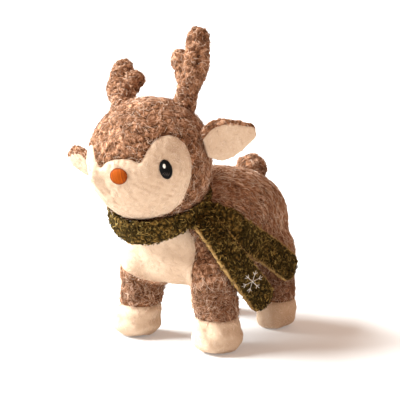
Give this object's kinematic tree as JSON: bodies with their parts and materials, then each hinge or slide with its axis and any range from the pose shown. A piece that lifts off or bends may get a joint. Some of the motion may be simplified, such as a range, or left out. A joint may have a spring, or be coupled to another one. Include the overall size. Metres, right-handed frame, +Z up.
{
  "type": "plush deer",
  "caption": "Standing soft toy deer with a felted wool skin, short antlers, leaf ears, stuffed legs, a stub tail and a loose neck scarf.",
  "frame": {"origin": "the middle of the outline at the floor, under the belly", "axes": "+Z up, the deer faces -Y, and its left side is +X"},
  "size_m": [0.157, 0.1844, 0.236],
  "materials": {
    "brown_wool": "matte",
    "cream_wool": "matte",
    "scarf_wool": "matte",
    "stuffing": "matte",
    "black_thread": "satin",
    "white_thread": "satin",
    "orange_thread": "satin"
  },
  "bodies": {
    "torso": {"body_shell": "brown_wool", "belly_panel": "cream_wool", "body_stuffing": "stuffing", "scarf_wrap": "scarf_wool"},
    "neck": {"neck_stuffing": "stuffing"},
    "head": {"head_shell": "brown_wool", "face_panel": "cream_wool", "head_stuffing": "stuffing", "left_eye": "black_thread", "left_eye_glint": "white_thread", "right_eye": "black_thread", "right_eye_glint": "white_thread", "nose": "orange_thread"},
    "left_antler": {"left_antler": "brown_wool", "left_antler_stuffing": "stuffing"},
    "right_antler": {"right_antler": "brown_wool", "right_antler_stuffing": "stuffing"},
    "left_ear": {"left_ear_back": "brown_wool", "left_ear_lining": "cream_wool"},
    "right_ear": {"right_ear_back": "brown_wool", "right_ear_lining": "cream_wool"},
    "front_left_leg": {"front_left_leg": "brown_wool", "front_left_foot": "cream_wool", "front_left_leg_stuffing": "stuffing"},
    "front_right_leg": {"front_right_leg": "brown_wool", "front_right_foot": "cream_wool", "front_right_leg_stuffing": "stuffing"},
    "rear_left_leg": {"rear_left_leg": "brown_wool", "rear_left_foot": "cream_wool", "rear_left_leg_stuffing": "stuffing"},
    "rear_right_leg": {"rear_right_leg": "brown_wool", "rear_right_foot": "cream_wool", "rear_right_leg_stuffing": "stuffing"},
    "tail": {"tail": "brown_wool"},
    "scarf_front": {"scarf_front_tail": "scarf_wool", "snowflake_embroidery": "white_thread"},
    "scarf_rear": {"scarf_rear_tail": "scarf_wool"}
  },
  "joints": [
    {"name": "head_turn", "type": "hinge", "parent": "torso", "child": "neck", "pos_m": [0.00379, -0.04398, 0.1398], "axis": [0, -0.454, 0.891], "range_deg": [-20, 20], "stiffness_Nm_per_rad": 0.1},
    {"name": "head_nod", "type": "hinge", "parent": "neck", "child": "head", "pos_m": [0.00379, -0.04398, 0.1398], "axis": [0.9765, 0.1425, 0.1616], "range_deg": [-8, 8], "stiffness_Nm_per_rad": 0.1},
    {"name": "left_antler_bend", "type": "hinge", "parent": "head", "child": "left_antler", "pos_m": [0.02298, -0.02974, 0.18051], "axis": [-0.9886, -0.0717, 0.1321], "range_deg": [-12, 12], "stiffness_Nm_per_rad": 0.02},
    {"name": "right_antler_bend", "type": "hinge", "parent": "head", "child": "right_antler", "pos_m": [-0.0297, -0.03739, 0.1724], "axis": [0.8613, 0.3511, 0.3673], "range_deg": [-12, 12], "stiffness_Nm_per_rad": 0.02},
    {"name": "left_ear_flap", "type": "hinge", "parent": "head", "child": "left_ear", "pos_m": [0.05138, -0.03755, 0.15589], "axis": [0.1406, 0.2706, -0.9524], "range_deg": [-30, 30], "stiffness_Nm_per_rad": 0.003},
    {"name": "right_ear_flap", "type": "hinge", "parent": "head", "child": "right_ear", "pos_m": [-0.04604, -0.05176, 0.13518], "axis": [-0.1524, -0.4442, 0.8829], "range_deg": [-30, 30], "stiffness_Nm_per_rad": 0.003},
    {"name": "front_left_leg_swing", "type": "hinge", "parent": "torso", "child": "front_left_leg", "pos_m": [0.04079, -0.01998, 0.061], "axis": [1, 0, 0], "range_deg": [-10, 10], "stiffness_Nm_per_rad": 0.4},
    {"name": "front_right_leg_swing", "type": "hinge", "parent": "torso", "child": "front_right_leg", "pos_m": [-0.02221, -0.01998, 0.061], "axis": [1, 0, 0], "range_deg": [-10, 10], "stiffness_Nm_per_rad": 0.4},
    {"name": "rear_left_leg_swing", "type": "hinge", "parent": "torso", "child": "rear_left_leg", "pos_m": [0.03979, 0.06202, 0.061], "axis": [1, 0, 0], "range_deg": [-10, 10], "stiffness_Nm_per_rad": 0.4},
    {"name": "rear_right_leg_swing", "type": "hinge", "parent": "torso", "child": "rear_right_leg", "pos_m": [-0.01521, 0.06702, 0.061], "axis": [1, 0, 0], "range_deg": [-10, 10], "stiffness_Nm_per_rad": 0.4},
    {"name": "tail_wag", "type": "hinge", "parent": "torso", "child": "tail", "pos_m": [0.00729, 0.07852, 0.1125], "axis": [1, 0, 0], "range_deg": [-12, 12], "stiffness_Nm_per_rad": 0.003},
    {"name": "scarf_front_lift", "type": "hinge", "parent": "torso", "child": "scarf_front", "pos_m": [0.04524, -0.03643, 0.09903], "axis": [-0.0202, -0.9668, -0.2549], "range_deg": [0, 45]},
    {"name": "scarf_rear_lift", "type": "hinge", "parent": "torso", "child": "scarf_rear", "pos_m": [0.05743, -0.00718, 0.08755], "axis": [0, -0.511, -0.8596], "range_deg": [0, 45]}
  ]
}
